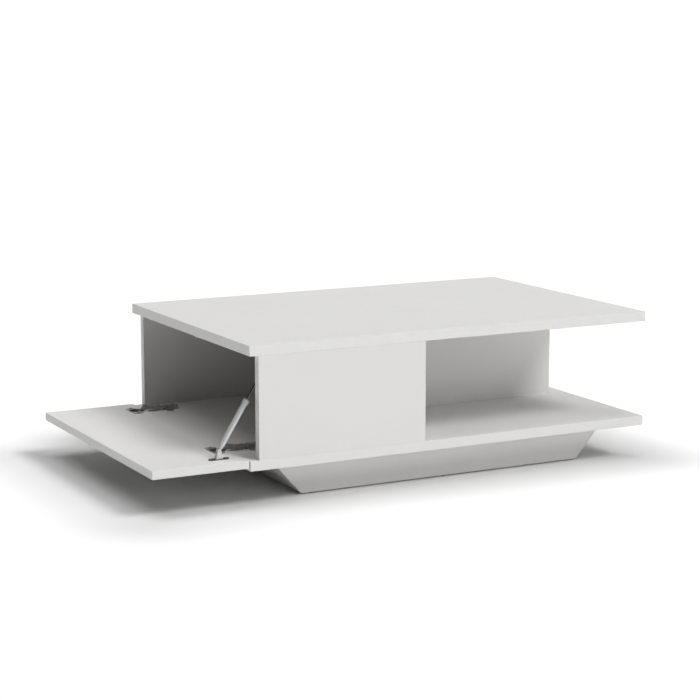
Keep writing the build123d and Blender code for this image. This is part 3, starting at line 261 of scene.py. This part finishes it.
def silver_paint(name):
    """Silver paint over a drawn steel tube: fine flakes under a thin clear coat, and scuffs along it."""
    g = Graph(name, STRUT_PAINT, 0.36, metallic=0.25, coat=0.25)
    flakes = g.noise(5200.0, 1.0, 0.5)
    scuffs = g.noise(1.0, 4.0, 0.6, g.stretched((900.0, 900.0, 60.0)))
    darker = tuple(c * 0.8 for c in STRUT_PAINT)
    g.put("Base Color", g.mix(g.remap(flakes, 0.35, 0.65), darker, STRUT_PAINT))
    g.put("Roughness", g.remap(scuffs, 0.35, 0.72, 0.3, 0.46))
    g.put("Normal", g.bump(flakes, 0.00001, 0.35))
    return g.material


def polished_rod(name):
    """Hard polished rod with very fine grinding marks round it."""
    g = Graph(name, POLISHED, 0.12, metallic=1.0)
    film = g.noise(140.0, 3.0, 0.6)
    g.put("Roughness", g.remap(film, 0.3, 0.75, 0.08, 0.2))
    g.put("Normal", g.bump(g.noise(3800.0, 2.0), 0.000005, 0.4))
    return g.material


def moulded_plastic(name, colour, roughness, grain=0.00004):
    """Moulded plastic: spark-eroded grain, slight sink marks and a faintly uneven gloss."""
    g = Graph(name, colour, roughness, specular=0.45)
    texture = g.noise(2100.0, 3.0, 0.6)
    flow = g.noise(70.0, 3.0, 0.5)
    darker = tuple(c * 0.93 for c in colour)
    g.put("Base Color", g.mix(g.remap(flow, 0.3, 0.75), darker, colour))
    g.put("Roughness", g.remap(flow, 0.3, 0.7, roughness * 0.88, roughness * 1.15))
    sink = g.bump(flow, 0.0003, 0.25)
    g.put("Normal", g.bump(texture, grain, 0.6, sink))
    return g.material


def soft_rubber(name):
    """Matte rubber, slightly dusty."""
    g = Graph(name, RUBBER, 0.78, specular=0.35)
    dust = g.noise(600.0, 4.0, 0.65)
    g.put("Base Color", g.mix(g.remap(dust, 0.5, 0.8, 0.0, 0.25), RUBBER, (0.16, 0.155, 0.15)))
    g.put("Roughness", g.remap(dust, 0.3, 0.7, 0.68, 0.88))
    g.put("Normal", g.bump(dust, 0.00005, 0.6))
    return g.material


def die_cast(name):
    """Die cast zinc: dull, with a grainy cast skin."""
    g = Graph(name, CAST_ZINC, 0.5, metallic=1.0)
    skin = g.noise(900.0, 5.0, 0.65)
    darker = tuple(c * 0.7 for c in CAST_ZINC)
    g.put("Base Color", g.mix(g.remap(skin, 0.35, 0.7), darker, CAST_ZINC))
    g.put("Roughness", g.remap(skin, 0.3, 0.7, 0.42, 0.62))
    g.put("Normal", g.bump(skin, 0.0001, 0.6))
    return g.material


FINISHES = {
    "white_edge": edge_band("edge_band"),
    "raw_wood": raw_wood("planed_wood"),
    "hinge_steel": plated_steel("nickel_plate", NICKEL, 0.42, metallic=0.55),
    "screw_steel": plated_steel("zinc_plate", ZINC_PLATE, 0.3, 0.3),
    "strut_silver": silver_paint("silver_paint"),
    "bright_steel": polished_rod("polished_rod"),
    "white_plastic": moulded_plastic("white_moulding", CLIP_WHITE, 0.42),
    "grey_plastic": moulded_plastic("grey_moulding", GLIDE_GREY, 0.5),
    "black_rubber": soft_rubber("black_rubber"),
    "zinc": die_cast("cast_zinc"),
}
RUBBED_FINISHES = {
    "white_board": worn_edge("board_edge_rubbed", WHITE, 0.36),
    "white_edge": worn_edge("band_edge_rubbed", EDGE_WHITE, 0.3),
    "hinge_steel": worn_edge("nickel_edge_bright", NICKEL_BRIGHT, 0.3, 0.6),
    "strut_silver": worn_edge("paint_edge_bright", STRUT_PAINT, 0.3, 0.3),
    "white_plastic": worn_edge("plastic_edge", CLIP_WHITE, 0.38),
}


# ---------------------------------------------------------------- rounded edges on the CAD nodes
SMOOTH_BELOW = 34.0  # degrees
FLAT_WITHIN = 0.3  # degrees
SHARP_FROM = 40.0  # degrees
SPLIT_GAP = 0.002 * MM
LONG_EDGE = 12.0 * MM  # on boards only longer edges are rounded, so that drilled holes stay crisp
ROUNDED_STEPS = 2


def geometry_group(name):
    """An empty geometry node group, with its first and last node."""
    group = bpy.data.node_groups.new(name, "GeometryNodeTree")
    group.interface.new_socket("Geometry", in_out="INPUT", socket_type="NodeSocketGeometry")
    group.interface.new_socket("Geometry", in_out="OUTPUT", socket_type="NodeSocketGeometry")
    return group, group.nodes.new("NodeGroupInput"), group.nodes.new("NodeGroupOutput")


def crisp_shading():
    """Shades smooth except across edges sharper than the limit, and drops the file's own normals."""
    group, start, end = geometry_group("crisp_shading")
    nodes = group.nodes
    drop = nodes.new("GeometryNodeRemoveAttribute")
    drop.inputs["Name"].default_value = "custom_normal"
    angle = nodes.new("GeometryNodeInputMeshEdgeAngle")
    gentle = nodes.new("FunctionNodeCompare")
    gentle.operation = "LESS_THAN"
    gentle.inputs[1].default_value = math.radians(SMOOTH_BELOW)
    faces = nodes.new("GeometryNodeSetShadeSmooth")
    edges = nodes.new("GeometryNodeSetShadeSmooth")
    edges.domain = "EDGE"
    link = group.links.new
    link(start.outputs[0], drop.inputs["Geometry"])
    link(drop.outputs["Geometry"], faces.inputs["Geometry"])
    link(faces.outputs["Geometry"], edges.inputs["Geometry"])
    link(angle.outputs["Unsigned Angle"], gentle.inputs[0])
    link(gentle.outputs[0], edges.inputs["Shade Smooth"])
    link(edges.outputs["Geometry"], end.inputs[0])
    return group


CRISP = crisp_shading()
EDGE_RADIUS = {
    "white_board": 0.18 * MM,
    "white_edge": 0.45 * MM,
    "raw_wood": 0.4 * MM,
    "hinge_steel": 0.14 * MM,
    "screw_steel": 0.08 * MM,
    "strut_silver": 0.25 * MM,
    "white_plastic": 0.35 * MM,
    "grey_plastic": 0.2 * MM,
    "zinc": 0.15 * MM,
}


def edges_to_round():
    """Marks a mesh's long sharp edges for the bevel."""
    group, start, end = geometry_group("edges_to_round")
    nodes = group.nodes
    link = group.links.new
    angle = nodes.new("GeometryNodeInputMeshEdgeAngle")
    sharp = nodes.new("FunctionNodeCompare")
    sharp.operation = "GREATER_THAN"
    sharp.inputs[1].default_value = math.radians(SHARP_FROM)
    link(angle.outputs["Unsigned Angle"], sharp.inputs[0])
    ends = nodes.new("GeometryNodeInputMeshEdgeVertices")
    apart = nodes.new("ShaderNodeVectorMath")
    apart.operation = "DISTANCE"
    link(ends.outputs["Position 1"], apart.inputs[0])
    link(ends.outputs["Position 2"], apart.inputs[1])
    long = nodes.new("FunctionNodeCompare")
    long.operation = "GREATER_THAN"
    long.inputs[1].default_value = LONG_EDGE
    link(apart.outputs["Value"], long.inputs[0])
    both = nodes.new("FunctionNodeBooleanMath")
    link(sharp.outputs[0], both.inputs[0])
    link(long.outputs[0], both.inputs[1])
    store = nodes.new("GeometryNodeStoreNamedAttribute")
    store.data_type = "FLOAT"
    store.domain = "EDGE"
    store.inputs["Name"].default_value = "bevel_weight_edge"
    link(start.outputs[0], store.inputs["Geometry"])
    link(both.outputs[0], store.inputs["Value"])
    link(store.outputs[0], end.inputs[0])
    return group


PICKED_EDGES = edges_to_round()


def shade(piece):
    """Shades a piece smooth between its sharp edges, with its wide faces flat up to their rounded edges."""
    smooth = piece.modifiers.new("shade", "NODES")
    smooth.node_group = CRISP
    level = piece.modifiers.new("flat", "WEIGHTED_NORMAL")
    level.mode = "FACE_AREA"
    level.keep_sharp = True


def round_edges(piece, radius, rubbed=None, long_only=False):
    """Joins the mesh's split corners, rounds its edges and shades it."""
    weld = piece.modifiers.new("join", "WELD")
    weld.merge_threshold = SPLIT_GAP
    whole = piece.modifiers.new("whole faces", "DECIMATE")  # a flat face's triangles become one face
    whole.decimate_type = "DISSOLVE"
    whole.angle_limit = math.radians(FLAT_WITHIN)
    if long_only:
        pick = piece.modifiers.new("pick", "NODES")
        pick.node_group = PICKED_EDGES
    if radius:
        bevel = piece.modifiers.new("round", "BEVEL")
        bevel.width = radius
        bevel.segments = ROUNDED_STEPS
        bevel.limit_method = "WEIGHT" if long_only else "ANGLE"
        bevel.angle_limit = math.radians(SHARP_FROM)
        bevel.use_clamp_overlap = not long_only
        bevel.miter_outer = "MITER_ARC"
        if rubbed:
            piece.data.materials.append(rubbed)
            bevel.material = len(piece.data.materials) - 1
    shade(piece)


OWN_FINISHES = {"strut_flap_plate": plated_steel("burnished_plate", DARK_PLATE, 0.38)}
LONG_EDGES_ONLY = ("white_board", "raw_wood")
SLOT_OF = {part["node"]: part["material_slot"] for part in frame["record"]["subparts"]}
for node, piece in NODES.items():
    slot = SLOT_OF[node]
    if slot == "white_board":
        finish = melamine(node + "_melamine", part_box(node))
    else:
        finish = OWN_FINISHES.get(node, FINISHES[slot])
    for held in piece.material_slots:
        held.material = finish
    round_edges(piece, EDGE_RADIUS.get(slot), RUBBED_FINISHES.get(slot), slot in LONG_EDGES_ONLY)

# ---------------------------------------------------------------- edge strips round the boards and the flap
STRIP_THICKNESS = 1.0 * MM
STRIP_ROUND = 0.45 * MM
STRIP_ROUND_STEPS = 4
STRIPPED_BOARDS = {
    "top_board_edging": "table_frame",
    "bottom_board_edging": "table_frame",
    "flap_edging": "flap",
}


def strip_section(low, high):
    """The strip's section: how far each point lies inside the board's outline, and its height."""
    section = [(STRIP_THICKNESS, low)]
    for height, side in ((low, 1), (high, -1)):
        turn = [math.pi / 2 * step / STRIP_ROUND_STEPS for step in range(STRIP_ROUND_STEPS + 1)]
        for angle in turn if side > 0 else reversed(turn):
            inset = STRIP_ROUND * (1 - math.sin(angle))
            section.append((inset, height + side * STRIP_ROUND * (1 - math.cos(angle))))
    return section + [(STRIP_THICKNESS, high)]


def edge_strip(node, body):
    """One closed strip round a board, with rounded long edges and mitred corners."""
    lo, hi = (Vector(corner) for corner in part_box(node))
    section = strip_section(lo.z, hi.z)
    corners = [(lo.x, lo.y, 1, 1), (hi.x, lo.y, -1, 1), (hi.x, hi.y, -1, -1), (lo.x, hi.y, 1, -1)]
    points = [(x + inward_x * inset, y + inward_y * inset, height)
              for x, y, inward_x, inward_y in corners for inset, height in section]
    count = len(section)
    faces = []
    for corner in range(len(corners)):
        here = corner * count
        there = (corner + 1) % len(corners) * count
        for step in range(count):
            after = (step + 1) % count
            faces.append((here + step, there + step, there + after, here + after))
    mesh = bpy.data.meshes.new(node)
    mesh.from_pydata(points, [], faces)
    mesh.materials.append(FINISHES["white_edge"])
    strip = bpy.data.objects.new(node.replace("edging", "edge_strip"), mesh)
    bpy.context.scene.collection.objects.link(strip)
    shade(strip)
    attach(strip, body)
    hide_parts(node)


for stripped, stripped_body in STRIPPED_BOARDS.items():
    edge_strip(stripped, stripped_body)

# ---------------------------------------------------------------- the latch's spring
SPRING_WIRE = 0.3 * MM  # radius
SPRING_TURNS = 9.0
SPRING_END_TURNS = 1.2  # closed turns at each end
SPRING_TURN_STEPS = 20
CLOSED_RISE = 2.2 * SPRING_WIRE  # from one closed turn to the next


def spring_rise(turn, length):
    """How far along a spring of that length a turn has come: its end turns lie close together."""
    closed = SPRING_END_TURNS * CLOSED_RISE
    opened = SPRING_TURNS - 2 * SPRING_END_TURNS
    if turn < SPRING_END_TURNS:
        return turn * CLOSED_RISE
    if turn > SPRING_TURNS - SPRING_END_TURNS:
        return length - (SPRING_TURNS - turn) * CLOSED_RISE
    return closed + (turn - SPRING_END_TURNS) / opened * (length - 2 * closed)


def latch_spring():
    """A wound wire spring for the opener's plunger, with its end turns lying close together."""
    lo, hi = (Vector(corner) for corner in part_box("latch_spring"))
    middle = (lo + hi) / 2
    radius = (hi.z - lo.z) / 2 - SPRING_WIRE
    length = hi.x - lo.x - 2 * SPRING_WIRE
    curve = bpy.data.curves.new("spring_wire", "CURVE")
    curve.dimensions = "3D"
    curve.bevel_depth = SPRING_WIRE
    curve.bevel_resolution = 3
    curve.use_fill_caps = True
    wire = curve.splines.new("POLY")
    steps = int(SPRING_TURNS * SPRING_TURN_STEPS)
    wire.points.add(steps)
    for step in range(steps + 1):
        turn = step / SPRING_TURN_STEPS
        angle = 2 * math.pi * turn
        x = lo.x + SPRING_WIRE + spring_rise(turn, length)
        y = middle.y + radius * math.cos(angle)
        z = middle.z + radius * math.sin(angle)
        wire.points[step].co = (x, y, z, 1.0)
    wound = bpy.data.objects.new("spring_wire", curve)
    mesh = bpy.data.meshes.new_from_object(wound)
    bpy.data.objects.remove(wound)
    spring = bpy.data.objects.new("wound_latch_spring", mesh)
    bpy.context.scene.collection.objects.link(spring)
    mesh.materials.clear()
    mesh.materials.append(FINISHES["bright_steel"])
    mesh.shade_smooth()
    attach(spring, "table_frame")
    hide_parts("latch_spring")
    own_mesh(spring)


latch_spring()

# ---------------------------------------------------------------- floor, light and camera
FLOOR_WHITE = 0.82
FLOOR_GLOW = 0.25  # the floor gives off some light of its own away from the table, and so turns pure white
GLOW_STARTS = 0.0
GLOW_FULL = 0.26


def studio_floor():
    """Matte pale floor that brightens with the distance from the table's outline."""
    g = Graph("pale_floor", (FLOOR_WHITE,) * 3, 0.9, specular=0.0)
    (x0, y0, _), (x1, y1, _) = CAD_BOX
    centre = ((x0 + x1) / 2, (y0 + y1) / 2, 0.0)
    half = ((x1 - x0) / 2, (y1 - y0) / 2, 1.0)
    beyond = g.vector("SUBTRACT", g.vector("ABSOLUTE", g.vector("SUBTRACT", g.place, centre)), half)
    beyond = g.vector("MAXIMUM", beyond)
    distance = g.add("ShaderNodeVectorMath", {0: beyond}, operation="LENGTH").outputs["Value"]
    glow = g.remap(distance, GLOW_STARTS, GLOW_FULL)
    g.put("Emission Color", g.mix(glow, (0.0, 0.0, 0.0), (1.0, 1.0, 1.0)))
    g.put("Emission Strength", FLOOR_GLOW)
    return g.material


FLOOR_REACH = 9.0
FLOOR_CORNERS = 96
bpy.ops.mesh.primitive_circle_add(vertices=FLOOR_CORNERS, radius=FLOOR_REACH, fill_type="NGON")
floor = bpy.context.object
floor.name = "studio_floor"
floor.data.materials.append(studio_floor())

# Soft lights: how high each stands, how far round to the right of the front, its spread (all in degrees)
# and its strength.
LIGHTS = {
    "key": (50.0, 34.0, 22.0, 1.55),
    "overhead": (77.0, -115.0, 45.0, 1.24),
    "high_right": (80.0, 60.0, 40.0, 0.32),
    "front_fill": (6.0, 28.0, 36.0, 0.62),
    "left_fill": (35.0, -40.0, 50.0, 0.05),
    "back_fill": (20.0, 150.0, 60.0, 0.52),
    "side_fill": (30.0, 100.0, 50.0, 0.08),
}


def soft_light(name, height, round_right, spread, strength):
    """Distant light with a wide face."""
    up, aside = math.radians(height), math.radians(round_right)
    towards = Vector((math.sin(aside) * math.cos(up), -math.cos(aside) * math.cos(up), math.sin(up)))
    light = bpy.data.lights.new(name, "SUN")
    light.energy = strength
    light.angle = math.radians(spread)
    lamp = bpy.data.objects.new(name, light)
    lamp.rotation_mode = "QUATERNION"
    lamp.rotation_quaternion = towards.to_track_quat("Z", "Y")
    bpy.context.scene.collection.objects.link(lamp)


for light_name, settings in LIGHTS.items():
    soft_light(light_name, *settings)

# The room is nearly dark, so that the inside of the compartment stays dark; the camera sees it white.
FILL_STRENGTH = 0.005
SEEN_STRENGTH = 1.1
DISPLAY_GAMMA = 0.833  # below 1 for a stronger contrast
world = bpy.data.worlds.new("studio")
world.use_nodes = True
tree = world.node_tree
backdrop = tree.nodes["Background"]
backdrop.inputs["Color"].default_value = (1.0, 1.0, 1.0, 1.0)
seen = tree.nodes.new("ShaderNodeLightPath")
level = tree.nodes.new("ShaderNodeMapRange")
level.inputs["To Min"].default_value = FILL_STRENGTH
level.inputs["To Max"].default_value = SEEN_STRENGTH
tree.links.new(seen.outputs["Is Camera Ray"], level.inputs["Value"])
tree.links.new(level.outputs[0], backdrop.inputs["Strength"])
bpy.context.scene.world = world
bpy.context.scene.view_settings.view_transform = "Standard"
bpy.context.scene.view_settings.gamma = DISPLAY_GAMMA

CAMERA_PLACE = (-2.1528, -3.9308, 1.0346)
CAMERA_TURN = 27.654
CAMERA_DOWN = 10.011
CAMERA_LENS = 100.156
CAMERA_REACH = 60.0
camera = bpy.data.cameras.new("camera")
camera.lens = CAMERA_LENS
camera.sensor_width = 36.0
camera.clip_end = CAMERA_REACH
camera_stand = bpy.data.objects.new("camera", camera)
camera_stand.location = CAMERA_PLACE
camera_stand.rotation_euler = (math.radians(90.0 - CAMERA_DOWN), 0.0, math.radians(-CAMERA_TURN))
bpy.context.scene.collection.objects.link(camera_stand)
bpy.context.scene.camera = camera_stand
